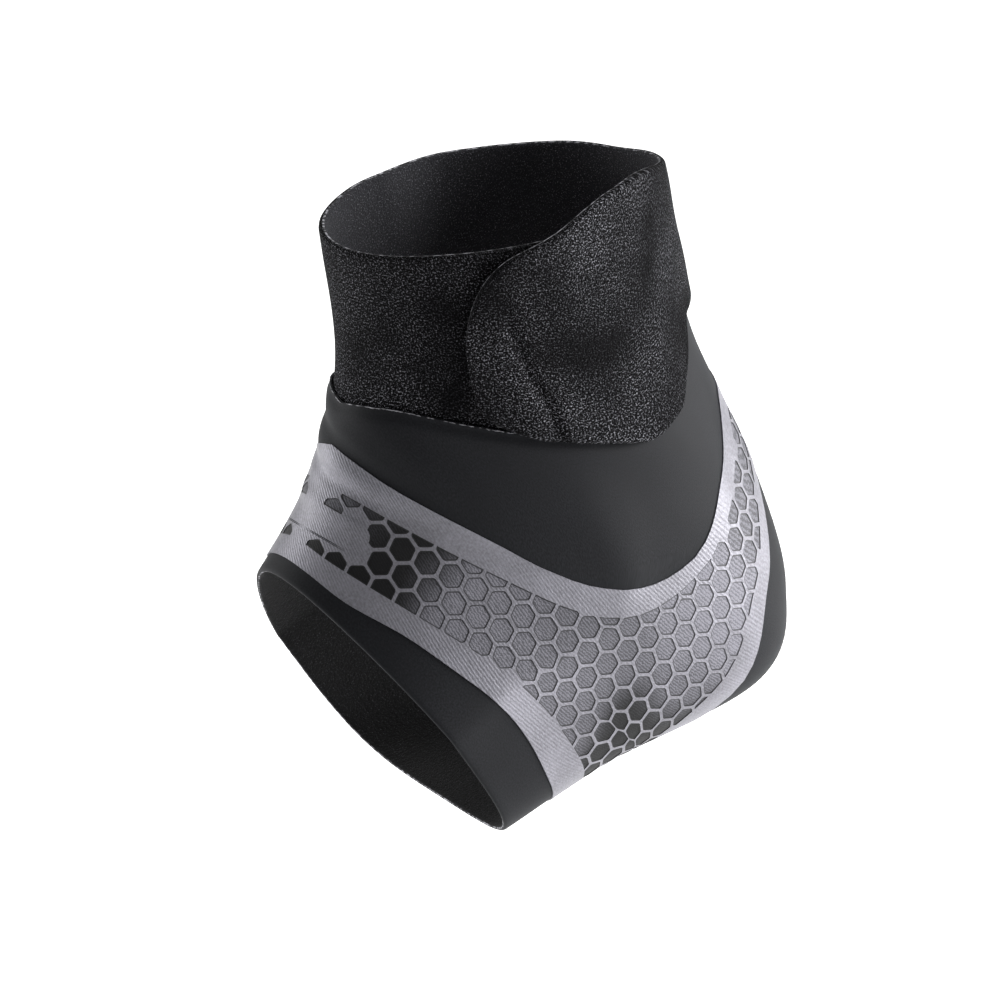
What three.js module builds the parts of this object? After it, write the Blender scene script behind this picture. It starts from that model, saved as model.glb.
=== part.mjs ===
import * as THREE from 'three';
import { mergeVertices } from 'three/addons/utils/BufferGeometryUtils.js';

// Ankle brace in the form it has on a foot: a stretch sleeve that is open at the leg, the toes and the
// heel, a printed film on the sleeve, and a pile band that is wound round the leg and ends in a tongue.
// Millimetres, +Z up the leg, toes toward -Y. The origin is the middle of the ankle.

// Driving dimensions of the body that the brace sits on
const LEG_RISE = 89; // ankle middle up to the rim of the cuff at the back
const SOLE_DROP = 51; // ankle middle down to the sole at the toe opening
const HEEL_REACH = 54; // ankle middle back to the heel
const TOE_REACH = 63; // ankle middle forward to the instep at the toe opening
const FOOT_WIDTH = 72;
const LEG_WIDTH = 62;
const FOLD_DEPTH = 1.5; // how far the band's fold stands out at the back of the cuff
const FOLD_ANGLE = 34;
const FOLD_SPREAD = 24;

// Driving dimensions of the cloth
const SLEEVE_WALL = 1.3;
const FILM_WALL = 0.5;
const PILE_WALL = 1.8;
const CLEARANCE = 0.3;
const FILM_CLEARANCE = 0.65;
const HEEL_OPENING_HEIGHT = 47; // along the back of the sleeve
const HEEL_OPENING_WIDTH = 42;
const HEEL_MARGIN = 9.5; // bare sleeve between the heel opening and the film
const TUCK = 5; // how far the band's first turn reaches down inside the sleeve
const STRAP_GAP = 0.8; // from the sleeve's upper edge up to the strap's lower edge
const TONGUE_ROUND = 15; // length of the strap's rounded end
const PATCH_LENGTH = 12;
const PATCH_HEIGHT = 20;
const PATCH_INSET = 4; // from the end of the tongue back to the hook patch

// Layers, as distances from the outside of the band's first turn
const SLEEVE_INSIDE = CLEARANCE;
const SLEEVE_OUTSIDE = SLEEVE_INSIDE + SLEEVE_WALL;
const FILM_INSIDE = SLEEVE_OUTSIDE + FILM_CLEARANCE;
const FILM_OUTSIDE = FILM_INSIDE + FILM_WALL;
const STRAP_INSIDE = SLEEVE_OUTSIDE + CLEARANCE;

// Sections of the body from the toe opening to the rim. Each runs from a point at the heel or sole side
// to a point at the instep side. heel: share of HEEL_REACH back, or of TOE_REACH forward where negative.
// heelUp, instepUp: share of LEG_RISE up, or of SOLE_DROP down where negative. instep: share of
// TOE_REACH forward.
const PROFILE = [
  { name: 'toe', heel: -0.38, heelUp: -0.97, instep: 1, instepUp: 0.1 },
  { name: 'midfoot', heel: 0.07, heelUp: -0.77, instep: 0.9, instepUp: 0.2 },
  { name: 'arch', heel: 0.84, heelUp: -0.57, instep: 0.83, instepUp: 0.3 },
  { name: 'heel', heel: 0.99, heelUp: -0.2, instep: 0.79, instepUp: 0.4 },
  { name: 'ankle', heel: 0.91, heelUp: 0.17, instep: 0.76, instepUp: 0.5 },
  { name: 'tendon', heel: 0.75, heelUp: 0.4, instep: 0.74, instepUp: 0.59 },
  { name: 'cuff_low', heel: 0.58, heelUp: 0.62, instep: 0.745, instepUp: 0.68 },
  { name: 'cuff_top', heel: 0.4, heelUp: 1, instep: 0.78, instepUp: 0.87 },
];

// The same sections across. foot, leg: shares of half FOOT_WIDTH and half LEG_WIDTH. square: how boxy the
// heel side is. narrow: how much the instep side tapers. fold: share of FOLD_DEPTH.
const GIRTH = [
  { name: 'toe', foot: 1, leg: 0, square: 0.9, narrow: 0.35, fold: 0 },
  { name: 'midfoot', foot: 0.98, leg: 0, square: 1, narrow: 0.28, fold: 0 },
  { name: 'arch', foot: 1, leg: 0, square: 0.8, narrow: 0.22, fold: 0 },
  { name: 'heel', foot: 0.5, leg: 0.52, square: 0.6, narrow: 0.15, fold: 0 },
  { name: 'ankle', foot: 0, leg: 0.99, square: 0.2, narrow: 0.05, fold: 0 },
  { name: 'tendon', foot: 0, leg: 0.96, square: 0, narrow: 0, fold: 0 },
  { name: 'cuff_low', foot: 0, leg: 0.96, square: 0, narrow: 0, fold: 0.3 },
  { name: 'cuff_top', foot: 0, leg: 1, square: 0, narrow: 0, fold: 1 },
];
const STATION = Object.fromEntries(PROFILE.map((section, index) => [section.name, index]));

// Angles run from the back over the outer side (+X) to the front, and the same way mirrored inside.
// Edges are stations along the sections, such as 4.4, four tenths of the way from ankle to tendon.
const SLEEVE_TOP = [
  { angle: 0, station: 6.4 },
  { angle: 40, station: 6.3 },
  { angle: 52, station: 5.9 },
  { angle: 65, station: 5.25 },
  { angle: 82, station: 4.56 },
  { angle: 100, station: 4.43 },
  { angle: 150, station: 4.4 },
  { angle: 180, station: 4.2 },
];
const FILM_EDGES = [
  { angle: 0, low: 0.42, high: 5.2 },
  { angle: 30, low: 0.43, high: 4.95 },
  { angle: 55, low: 0.5, high: 4.1 },
  { angle: 75, low: 0.62, high: 3.02 },
  { angle: 95, low: 0.64, high: 2.4 },
  { angle: 120, low: 0.54, high: 2.48 },
  { angle: 150, low: 0.3, high: 2.68 },
  { angle: 180, low: 0.32, high: 3.1 },
];

// The band from its hidden inner end, once round inside the sleeve, then out over it to the tongue.
// high: station of its upper edge. rise: stations from the sleeve's upper edge up to its lower edge,
// before TUCK and STRAP_GAP. tuck: 1 where the lower edge is inside the sleeve by TUCK, 0 where it is
// STRAP_GAP higher. stand: share of the way out from the first turn to the strap.
const BAND = [
  { angle: 50, high: 6.85, rise: 0, tuck: 1, stand: 0 },
  { angle: 90, high: 6.95, rise: 0, tuck: 1, stand: 0 },
  { angle: 150, high: 7, rise: 0, tuck: 1, stand: 0 },
  { angle: 242, high: 7, rise: 0, tuck: 1, stand: 0 },
  { angle: 256, high: 7, rise: 0.06, tuck: 0, stand: 0 },
  { angle: 286, high: 7, rise: 0.1, tuck: 0, stand: 1 },
  { angle: 300, high: 7, rise: -0.25, tuck: 0, stand: 1 },
  { angle: 400, high: 7.12, rise: -0.22, tuck: 0, stand: 1 },
  { angle: 412, high: 7.2, rise: -0.38, tuck: 0, stand: 1 },
  { angle: 420, high: 7.23, rise: -0.4, tuck: 0, stand: 1 },
  { angle: 432, high: 7.23, rise: -0.2, tuck: 0, stand: 1 },
  { angle: 440, high: 7.2, rise: -0.08, tuck: 0, stand: 1 },
  { angle: 455, high: 7.08, rise: 0, tuck: 0, stand: 1 },
  { angle: 488, high: 6.9, rise: 0, tuck: 0, stand: 1 },
];

// Outline of the tongue: share of the band's height left at its tip, how full the round is, and how far
// up the band its middle lies
const TONGUE = { tip: 0.35, fullness: 2.4, middle: 0.42 };

const radians = THREE.MathUtils.degToRad;

// A smooth curve through a row of values, at a place given in rows
function through(values, place) {
  const last = values.length - 1;
  const index = Math.min(Math.max(Math.floor(place), 0), last - 1);
  const t = place - index;
  const [a, b] = [values[index], values[index + 1]];
  const before = index > 0 ? values[index - 1] : 2 * a - b;
  const after = index < last - 1 ? values[index + 2] : 2 * b - a;
  const bend = 2 * before - 5 * a + 4 * b - after;
  const twist = 3 * (a - b) + after - before;
  return a + 0.5 * t * (b - before + t * (bend + t * twist));
}

// A smooth value read from a table of angles, without overshoot
function atAngle(table, column, degrees) {
  const last = table.length - 1;
  const found = table.findIndex((row) => row.angle > degrees);
  const index = found < 0 ? last - 1 : Math.max(found - 1, 0);
  const [a, b] = [table[index], table[index + 1]];
  const slope = (i) => (table[i + 1][column] - table[i][column]) / (table[i + 1].angle - table[i].angle);
  const tangent = (i) => {
    if (i === 0 || i === last) return slope(Math.min(i, last - 1));
    const [left, right] = [slope(i - 1), slope(i)];
    return left * right > 0 ? (2 * left * right) / (left + right) : 0;
  };
  const span = b.angle - a.angle;
  const t = THREE.MathUtils.clamp((degrees - a.angle) / span, 0, 1);
  const rise = b[column] - a[column];
  const [m0, m1] = [tangent(index) * span, tangent(index + 1) * span];
  return a[column] + t * (m0 + t * (3 * rise - 2 * m0 - m1 + t * (m0 + m1 - 2 * rise)));
}

const backward = (share) => (share >= 0 ? share * HEEL_REACH : share * TOE_REACH);
const upward = (share) => (share >= 0 ? share * LEG_RISE : share * SOLE_DROP);
const HEEL_Y = PROFILE.map((row) => backward(row.heel));
const HEEL_Z = PROFILE.map((row) => upward(row.heelUp));
const INSTEP_Y = PROFILE.map((row) => -row.instep * TOE_REACH);
const INSTEP_Z = PROFILE.map((row) => upward(row.instepUp));
const HALF_WIDTH = GIRTH.map((row) => (row.foot * FOOT_WIDTH + row.leg * LEG_WIDTH) / 2);
const SQUARE = GIRTH.map((row) => row.square);
const NARROW = GIRTH.map((row) => row.narrow);
const FOLD = GIRTH.map((row) => row.fold * FOLD_DEPTH);

// A point on the body: the outside of the band's first turn and its continuation down the foot
function bodyPoint(station, degrees) {
  const angle = radians(degrees);
  const [cos, sin] = [Math.cos(angle), Math.sin(angle)];
  const power = 2 + (cos > 0 ? 2 * through(SQUARE, station) : 0);
  const reach = (Math.abs(cos) ** power + Math.abs(sin) ** power) ** (-1 / power);
  const taper = 1 - through(NARROW, station) * Math.max(-cos, 0);
  const heel = new THREE.Vector3(0, through(HEEL_Y, station), through(HEEL_Z, station));
  const instep = new THREE.Vector3(0, through(INSTEP_Y, station), through(INSTEP_Z, station));
  const point = heel.clone().lerp(instep, 0.5 * (1 - cos * reach));
  point.x = through(HALF_WIDTH, station) * sin * reach * taper;
  const turn = THREE.MathUtils.euclideanModulo(degrees - FOLD_ANGLE + 180, 360) - 180;
  const fold = through(FOLD, station) * Math.exp(-((turn / FOLD_SPREAD) ** 2));
  const outward = heel.sub(instep).normalize().multiplyScalar(Math.cos(radians(FOLD_ANGLE)));
  outward.x = Math.sin(radians(FOLD_ANGLE));
  return point.addScaledVector(outward, fold);
}

// How the body point moves for one station and for one degree
function slopes(station, degrees) {
  const step = 0.01;
  const along = bodyPoint(station + step, degrees).sub(bodyPoint(station - step, degrees));
  const around = bodyPoint(station, degrees + step).sub(bodyPoint(station, degrees - step));
  return { along: along.divideScalar(2 * step), around: around.divideScalar(2 * step) };
}

function layerPoint(station, degrees, distance) {
  const { along, around } = slopes(station, degrees);
  return bodyPoint(station, degrees).addScaledVector(along.cross(around).normalize(), distance);
}

// A closed wall between two layers. rows holds the edge-to-edge rows of { station, angle, inside,
// outside }; a row whose ends meet behind the leg is a ring.
function wallGeometry(rows) {
  const rings = rows.map((row) => Math.abs(row.at(-1).angle - row[0].angle - 360) < 1e-6);
  const side = (key) => rows.map((row) => row.map((cell) => layerPoint(cell.station, cell.angle, cell[key])));
  const [outer, inner] = [side('outside'), side('inside')];
  const corners = [];
  const quad = (a, b, c, d) => {
    const cut = a.distanceToSquared(c) <= b.distanceToSquared(d) ? [a, b, c, a, c, d] : [a, b, d, b, c, d];
    corners.push(...cut);
  };
  const last = rows[0].length - 1;
  for (let i = 0; i + 1 < rows.length; i++) {
    for (let j = 0; j < last; j++) {
      quad(outer[i][j], outer[i + 1][j], outer[i + 1][j + 1], outer[i][j + 1]);
      quad(inner[i][j], inner[i][j + 1], inner[i + 1][j + 1], inner[i + 1][j]);
    }
    if (rings[i] && rings[i + 1]) continue;
    quad(outer[i][0], inner[i][0], inner[i + 1][0], outer[i + 1][0]);
    quad(outer[i][last], outer[i + 1][last], inner[i + 1][last], inner[i][last]);
  }
  const top = rows.length - 1;
  for (let j = 0; j < last; j++) {
    quad(outer[0][j], outer[0][j + 1], inner[0][j + 1], inner[0][j]);
    quad(outer[top][j], inner[top][j], inner[top][j + 1], outer[top][j + 1]);
  }
  const geometry = new THREE.BufferGeometry().setFromPoints(corners);
  const merged = mergeVertices(geometry, 1e-4);
  merged.computeVertexNormals();
  return merged;
}

const COLUMNS = 24; // from the back round to the front
const CROWDING = 1.3; // sets the columns closer at the back, where the sole and the heel are tightly bent

// Rows of a tube with an oval opening at the heel, from its low edge to its high edge. counts: rows
// below, beside and above the opening.
function tubeRows({ low, high, opening, counts, inside, outside }) {
  const starts = [];
  const below = opening.station - opening.height;
  const above = opening.station + opening.height;
  for (let i = 0; i < counts.below; i++) {
    starts.push({ station: THREE.MathUtils.lerp(low(0), below, i / counts.below), angle: 0 });
  }
  for (let i = 0; i <= counts.beside; i++) {
    const turn = (Math.PI * i) / counts.beside;
    const angle = i === counts.beside ? 0 : opening.angle * Math.sin(turn);
    starts.push({ station: opening.station - opening.height * Math.cos(turn), angle });
  }
  for (let i = 1; i <= counts.above; i++) {
    starts.push({ station: THREE.MathUtils.lerp(above, high(0), i / counts.above), angle: 0 });
  }
  return starts.map((start, index) => {
    const share = (start.station - low(start.angle)) / (high(start.angle) - low(start.angle));
    const half = [];
    for (let j = 0; j <= COLUMNS; j++) {
      const way = j / COLUMNS;
      const angle = THREE.MathUtils.lerp(start.angle, 180, way ** CROWDING);
      const even = index / (starts.length - 1);
      const place = THREE.MathUtils.lerp(share, even, THREE.MathUtils.smoothstep(way, 0, 1));
      half.push({ station: THREE.MathUtils.lerp(low(angle), high(angle), place), angle, inside, outside });
    }
    const mirrored = half.slice(0, -1).reverse().map((cell) => ({ ...cell, angle: 360 - cell.angle }));
    return [...half, ...mirrored];
  });
}

const HEEL_STATION = 2.75; // the middle of the heel opening
const heelSlopes = slopes(HEEL_STATION, 0);

// The heel opening grown by a margin all round, in stations and degrees
function heelOpening(margin) {
  const halfWidth = through(HALF_WIDTH, HEEL_STATION);
  const edge = Math.asin(Math.min(HEEL_OPENING_WIDTH / 2 / halfWidth, 0.95));
  const edgeDegrees = THREE.MathUtils.radToDeg(edge);
  const perDegree = slopes(HEEL_STATION, edgeDegrees).around.length();
  return {
    station: HEEL_STATION,
    height: (HEEL_OPENING_HEIGHT / 2 + margin) / heelSlopes.along.length(),
    angle: edgeDegrees + margin / perDegree,
  };
}

function sleeveGeometry() {
  return wallGeometry(tubeRows({
    low: () => STATION.toe,
    high: (degrees) => atAngle(SLEEVE_TOP, 'station', degrees),
    opening: heelOpening(0),
    counts: { below: 8, beside: 12, above: 6 },
    inside: SLEEVE_INSIDE,
    outside: SLEEVE_OUTSIDE,
  }));
}

function filmGeometry() {
  return wallGeometry(tubeRows({
    low: (degrees) => atAngle(FILM_EDGES, 'low', degrees),
    high: (degrees) => atAngle(FILM_EDGES, 'high', degrees),
    opening: heelOpening(HEEL_MARGIN),
    counts: { below: 6, beside: 14, above: 3 },
    inside: FILM_INSIDE,
    outside: FILM_OUTSIDE,
  }));
}

const BAND_END = BAND.at(-1).angle;
const BAND_STEP = 7.5;
const TONGUE_STEPS = 8;
const BAND_HEIGHTS = 5;

// The band's edges at an angle
function bandEdges(degrees) {
  const turned = degrees % 360;
  const sleeveEdge = atAngle(SLEEVE_TOP, 'station', Math.min(turned, 360 - turned));
  const over = THREE.MathUtils.lerp(STRAP_GAP, -TUCK, atAngle(BAND, 'tuck', degrees));
  const low = sleeveEdge + atAngle(BAND, 'rise', degrees) + over / slopes(sleeveEdge, degrees).along.length();
  return { low, high: atAngle(BAND, 'high', degrees) };
}

const tongueEdges = bandEdges(BAND_END);
const TONGUE_STATION = THREE.MathUtils.lerp(tongueEdges.low, tongueEdges.high, TONGUE.middle);
const tongueSlopes = slopes(TONGUE_STATION, BAND_END);
const ROUND_DEGREES = TONGUE_ROUND / tongueSlopes.around.length();

function bandGeometry() {
  const first = BAND[0].angle;
  const turnEnd = BAND_END - ROUND_DEGREES;
  const steps = Math.round((turnEnd - first) / BAND_STEP);
  const places = [];
  for (let i = 0; i < steps; i++) places.push(THREE.MathUtils.lerp(first, turnEnd, i / steps));
  for (let i = 0; i <= TONGUE_STEPS; i++) {
    places.push(turnEnd + ROUND_DEGREES * Math.sin((Math.PI / 2) * (i / TONGUE_STEPS)));
  }
  const rows = [];
  for (let i = 0; i <= BAND_HEIGHTS; i++) {
    rows.push(places.map((angle) => {
      const into = THREE.MathUtils.clamp((angle - turnEnd) / ROUND_DEGREES, 0, 1);
      const left = THREE.MathUtils.lerp(TONGUE.tip, 1, Math.sqrt(1 - into ** TONGUE.fullness));
      const { low, high } = bandEdges(angle);
      const middle = THREE.MathUtils.lerp(low, high, TONGUE.middle);
      const full = THREE.MathUtils.lerp(low, high, i / BAND_HEIGHTS);
      const stand = atAngle(BAND, 'stand', angle);
      return {
        station: THREE.MathUtils.lerp(middle, full, left),
        angle,
        inside: THREE.MathUtils.lerp(-PILE_WALL, STRAP_INSIDE, stand),
        outside: THREE.MathUtils.lerp(0, STRAP_INSIDE + PILE_WALL, stand),
      };
    }));
  }
  return wallGeometry(rows);
}

// The hook patch lies under the tongue, against the band's first turn
function patchGeometry() {
  const [tall, wide] = [5, 6];
  const to = BAND_END - 360 - PATCH_INSET / tongueSlopes.around.length();
  const from = to - PATCH_LENGTH / tongueSlopes.around.length();
  const halfHeight = PATCH_HEIGHT / 2 / slopes(TONGUE_STATION, (from + to) / 2).along.length();
  const rows = [];
  for (let i = 0; i <= tall; i++) {
    const row = [];
    for (let j = 0; j <= wide; j++) {
      row.push({
        station: TONGUE_STATION + halfHeight * (2 * (i / tall) - 1),
        angle: THREE.MathUtils.lerp(from, to, j / wide),
        inside: CLEARANCE,
        outside: STRAP_INSIDE - CLEARANCE,
      });
    }
    rows.push(row);
  }
  return wallGeometry(rows);
}

function clothPiece(name, geometry, color, roughness) {
  const mesh = new THREE.Mesh(geometry, new THREE.MeshStandardMaterial({ color, roughness, metalness: 0 }));
  mesh.name = name;
  return mesh;
}

const group = new THREE.Group();
group.add(
  clothPiece('sleeve', sleeveGeometry(), 0x2b2b30, 0.7),
  clothPiece('print_film', filmGeometry(), 0xa9a8ae, 0.45),
  clothPiece('wrap_cuff', bandGeometry(), 0x1c1c1f, 0.95),
  clothPiece('hook_patch', patchGeometry(), 0x101012, 0.9),
);

export default group;
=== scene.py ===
import math

import bmesh
import bpy
import numpy as np
from mathutils import Matrix, Vector
from mathutils.bvhtree import BVHTree
from mathutils.geometry import delaunay_2d_cdt


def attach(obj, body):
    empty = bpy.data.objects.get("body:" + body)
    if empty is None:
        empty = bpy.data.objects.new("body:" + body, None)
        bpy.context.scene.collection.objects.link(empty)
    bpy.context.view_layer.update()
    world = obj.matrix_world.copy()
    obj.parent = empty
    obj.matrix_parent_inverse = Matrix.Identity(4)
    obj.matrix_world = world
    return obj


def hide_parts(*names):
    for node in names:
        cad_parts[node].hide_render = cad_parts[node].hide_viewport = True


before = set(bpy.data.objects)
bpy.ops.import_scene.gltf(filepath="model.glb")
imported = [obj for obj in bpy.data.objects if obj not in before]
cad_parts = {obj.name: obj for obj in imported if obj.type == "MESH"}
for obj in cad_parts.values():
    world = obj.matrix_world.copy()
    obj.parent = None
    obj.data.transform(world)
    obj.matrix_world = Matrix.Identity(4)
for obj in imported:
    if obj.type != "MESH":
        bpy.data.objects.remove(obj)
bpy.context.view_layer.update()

# Ankle brace as it sits on a foot. Tables and sizes are in millimetres, and a mesh turns them to metres
# when it is made. Stations run along the brace from the toe opening to the rim of the cuff. Angles run
# from the back (0) over the outer side (90) to the front (180) and on round the inner side.
MM = 0.001


def table(columns, rows):
    return [dict(zip(columns.split(), row)) for row in rows]


def unit(vectors):
    return vectors / np.linalg.norm(vectors, axis=-1, keepdims=True)


# The body that the brace sits on. The sizes from here to PILE_WALL, PROFILE and GIRTH are the same as in
# its solids. The edges of sleeve, film and band follow the photograph a little more closely.
LEG_RISE = 89
SOLE_DROP = 51
HEEL_REACH = 54
TOE_REACH = 63
FOOT_WIDTH = 72
LEG_WIDTH = 62
FOLD_DEPTH = 1.5  # of the fold that runs up the cuff, FOLD_SPREAD degrees wide
FOLD_ANGLE = 34
FOLD_SPREAD = 24

# Layers of cloth, as distances outward from the body, which is the outside of the band's first turn
SLEEVE_WALL = 1.3
PILE_WALL = 1.8
CLEARANCE = 0.3
SLEEVE_INSIDE = CLEARANCE
SLEEVE_OUTSIDE = SLEEVE_INSIDE + SLEEVE_WALL
STRAP_INSIDE = SLEEVE_OUTSIDE + CLEARANCE
FILM_TOP = 0.28  # the silver lattice above the sleeve
CELL_FLOOR = 0.12  # the print inside the cells above the sleeve
FILM_UNDERSIDE = -0.05  # just inside the sleeve, so that no gap shows

HEEL_OPENING_HEIGHT = 47
HEEL_OPENING_WIDTH = 42
FILM_MARGIN = 12.5  # from the heel opening to the silver film
HEEL_STATION = 2.75  # the middle of the heel opening
WIDEST_SHARE = 0.95  # how much of the half width an opening can take
HEEL_SKEW = 0.012  # how much wider the film's margin is toward the sole, for each millimetre of it
TUCK = 5  # how deep the band's lower edge lies inside the sleeve
STRAP_GAP = 0.8  # from the sleeve's edge to the band's where it is outside
TONGUE_ROUND = 15  # length of the rounded end
BAND_START, BAND_END = 50.0, 488.0  # degrees, once round and on

PROFILE = table("name heel heel_up instep instep_up", [
    ("toe", -0.38, -0.97, 1, 0.1),
    ("midfoot", 0.07, -0.77, 0.9, 0.2),
    ("arch", 0.84, -0.57, 0.83, 0.3),
    ("heel", 0.99, -0.2, 0.79, 0.4),
    ("ankle", 0.91, 0.17, 0.76, 0.5),
    ("tendon", 0.75, 0.4, 0.74, 0.59),
    ("cuff_low", 0.58, 0.62, 0.745, 0.68),
    ("cuff_top", 0.4, 1, 0.78, 0.87),
])
GIRTH = table("name foot leg square narrow fold", [
    ("toe", 1, 0, 0.9, 0.35, 0),
    ("midfoot", 0.98, 0, 1, 0.28, 0),
    ("arch", 1, 0, 0.8, 0.22, 0),
    ("heel", 0.5, 0.52, 0.6, 0.15, 0),
    ("ankle", 0, 0.99, 0.2, 0.05, 0),
    ("tendon", 0, 0.96, 0, 0, 0),
    ("cuff_low", 0, 0.96, 0, 0, 0.3),
    ("cuff_top", 0, 1, 0, 0, 1),
])
SLEEVE_TOP = table("angle station", [
    (0, 6.4),
    (40, 6.3),
    (52, 5.9),
    (65, 5.25),
    (82, 4.56),
    (100, 4.42),
    (150, 4.36),
    (166, 4.2),
    (180, 4.03),
])
FILM_EDGES = table("angle low high", [
    (0, 0.42, 5.2),
    (30, 0.43, 4.95),
    (55, 0.5, 4.1),
    (75, 0.62, 3.02),
    (85, 0.65, 2.61),
    (95, 0.64, 2.36),
    (103, 0.61, 2.28),
    (111, 0.58, 2.29),
    (120, 0.54, 2.37),
    (150, 0.3, 2.64),
    (166, 0.31, 2.85),
    (180, 0.32, 3.02),
])
# The band: its upper edge, how far its lower edge rises over the sleeve's edge, whether that is tucked
# inside the sleeve (1) or outside it (0), and how far it stands out from the first turn to the strap
BAND = table("angle high rise tuck stand", [
    (BAND_START, 6.85, 0, 1, 0),
    (90, 6.98, 0, 1, 0),
    (150, 7.07, 0, 1, 0),
    (242, 7.04, 0, 1, 0),
    (256, 7.02, 0.06, 0, 0),
    (286, 6.96, 0.1, 0, 1),
    (300, 6.94, -0.25, 0, 1),
    (345, 6.93, -0.24, 0, 1),
    (380, 7.02, -0.22, 0, 1),
    (400, 7.12, -0.22, 0, 1),
    (412, 7.2, -0.38, 0, 1),
    (420, 7.23, -0.4, 0, 1),
    (432, 7.23, -0.2, 0, 1),
    (440, 7.2, -0.08, 0, 1),
    (455, 7.08, 0, 0, 1),
    (BAND_END, 6.9, 0, 0, 1),
])
# The rounded end: its share of the height at the tip, how full it is, and where its middle lies
TONGUE = {"tip": 0.35, "fullness": 2.4, "middle": 0.42}


def through(values, place):
    """A smooth curve through a row of values, at places given in rows."""
    values = np.asarray(values, float)
    place = np.asarray(place, float)
    last = len(values) - 1
    index = np.clip(np.floor(place).astype(int), 0, last - 1)
    t = place - index
    if values.ndim > 1:
        t = t.reshape(t.shape + (1,) * (values.ndim - 1))
    a, b = values[index], values[index + 1]
    at_start = (index == 0).reshape(t.shape)
    at_end = (index == last - 1).reshape(t.shape)
    before = np.where(at_start, 2 * a - b, values[np.maximum(index - 1, 0)])
    after = np.where(at_end, 2 * b - a, values[np.minimum(index + 2, last)])
    bend = 2 * before - 5 * a + 4 * b - after
    twist = 3 * (a - b) + after - before
    return a + 0.5 * t * (b - before + t * (bend + t * twist))


def column(rows, name):
    return np.array([row[name] for row in rows], float)


def at_angle(rows, name, degrees):
    """A smooth value read from a table of angles, without overshoot."""
    angles, values = column(rows, "angle"), column(rows, name)
    slope = np.diff(values) / np.diff(angles)
    same_way = slope[:-1] * slope[1:] > 0
    total = np.where(same_way, slope[:-1] + slope[1:], 1)
    inner = np.where(same_way, 2 * slope[:-1] * slope[1:] / total, 0)
    tangent = np.concatenate([slope[:1], inner, slope[-1:]])
    index = np.clip(np.searchsorted(angles, degrees, side="right") - 1, 0, len(angles) - 2)
    span = angles[index + 1] - angles[index]
    t = np.clip((degrees - angles[index]) / span, 0, 1)
    rise = values[index + 1] - values[index]
    start, end = tangent[index] * span, tangent[index + 1] * span
    return values[index] + t * (start + t * (3 * rise - 2 * start - end + t * (start + end - 2 * rise)))


def backward(shares):
    return np.where(shares >= 0, shares * HEEL_REACH, shares * TOE_REACH)


def upward(shares):
    return np.where(shares >= 0, shares * LEG_RISE, shares * SOLE_DROP)


MIDDLE = np.zeros(len(PROFILE))
HEEL_LINE = np.stack([MIDDLE, backward(column(PROFILE, "heel")), upward(column(PROFILE, "heel_up"))], axis=1)
INSTEP_LINE = np.stack([MIDDLE, -TOE_REACH * column(PROFILE, "instep"),
                        upward(column(PROFILE, "instep_up"))], axis=1)
HALF_WIDTH = (column(GIRTH, "foot") * FOOT_WIDTH + column(GIRTH, "leg") * LEG_WIDTH) / 2
SQUARE, NARROW = column(GIRTH, "square"), column(GIRTH, "narrow")
FOLD = column(GIRTH, "fold") * FOLD_DEPTH


def body_point(station, degrees):
    """Points on the body, from stations and angles."""
    station, degrees = np.broadcast_arrays(np.asarray(station, float), np.asarray(degrees, float))
    angle = np.radians(degrees)
    cos, sin = np.cos(angle), np.sin(angle)
    power = 2 + np.where(cos > 0, 2 * through(SQUARE, station), 0)
    reach = (np.abs(cos) ** power + np.abs(sin) ** power) ** (-1 / power)
    taper = 1 - through(NARROW, station) * np.maximum(-cos, 0)
    heel, instep = through(HEEL_LINE, station), through(INSTEP_LINE, station)
    point = heel + (instep - heel) * (0.5 * (1 - cos * reach))[..., None]
    point[..., 0] = through(HALF_WIDTH, station) * sin * reach * taper
    turn = (degrees - FOLD_ANGLE + 180) % 360 - 180
    fold = through(FOLD, station) * np.exp(-((turn / FOLD_SPREAD) ** 2))
    way = unit(heel - instep) * math.cos(math.radians(FOLD_ANGLE))
    way[..., 0] = math.sin(math.radians(FOLD_ANGLE))
    return point + way * fold[..., None]


def slopes(station, degrees, point=body_point):
    """How a point of a surface moves for one station and for one degree."""
    step = 0.01
    along = (point(station + step, degrees) - point(station - step, degrees)) / (2 * step)
    around = (point(station, degrees + step) - point(station, degrees - step)) / (2 * step)
    return along, around


def outward(station, degrees, point=body_point):
    along, around = slopes(np.asarray(station, float), np.asarray(degrees, float), point)
    return unit(np.cross(along, around))


# Soft dents and folds that the worn cloth of the sleeve shows. station, angle: the middle. turn: from
# the way along the brace, in degrees. long, wide, deep: in millimetres, deep outward. A crease stays on its
# own side of the tube: it fades over CREASE_THROUGH millimetres across it.
CREASE_THROUGH = 25
CREASES = table("station angle turn long wide deep", [
    (3.1, 176, 70, 22, 3.0, -0.9),
    (2.45, 186, 74, 20, 2.6, -0.7),
    (1.7, 184, 80, 18, 3.2, 0.5),
    (3.5, 150, 60, 26, 5.0, 0.5),
    (2.9, 95, 40, 30, 7.0, 0.5),
    (4.0, 50, 20, 24, 5.0, -0.5),
    (2.4, 268, -40, 30, 7.0, 0.5),
    (3.4, 216, -60, 24, 4.0, -0.6),
])


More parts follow.
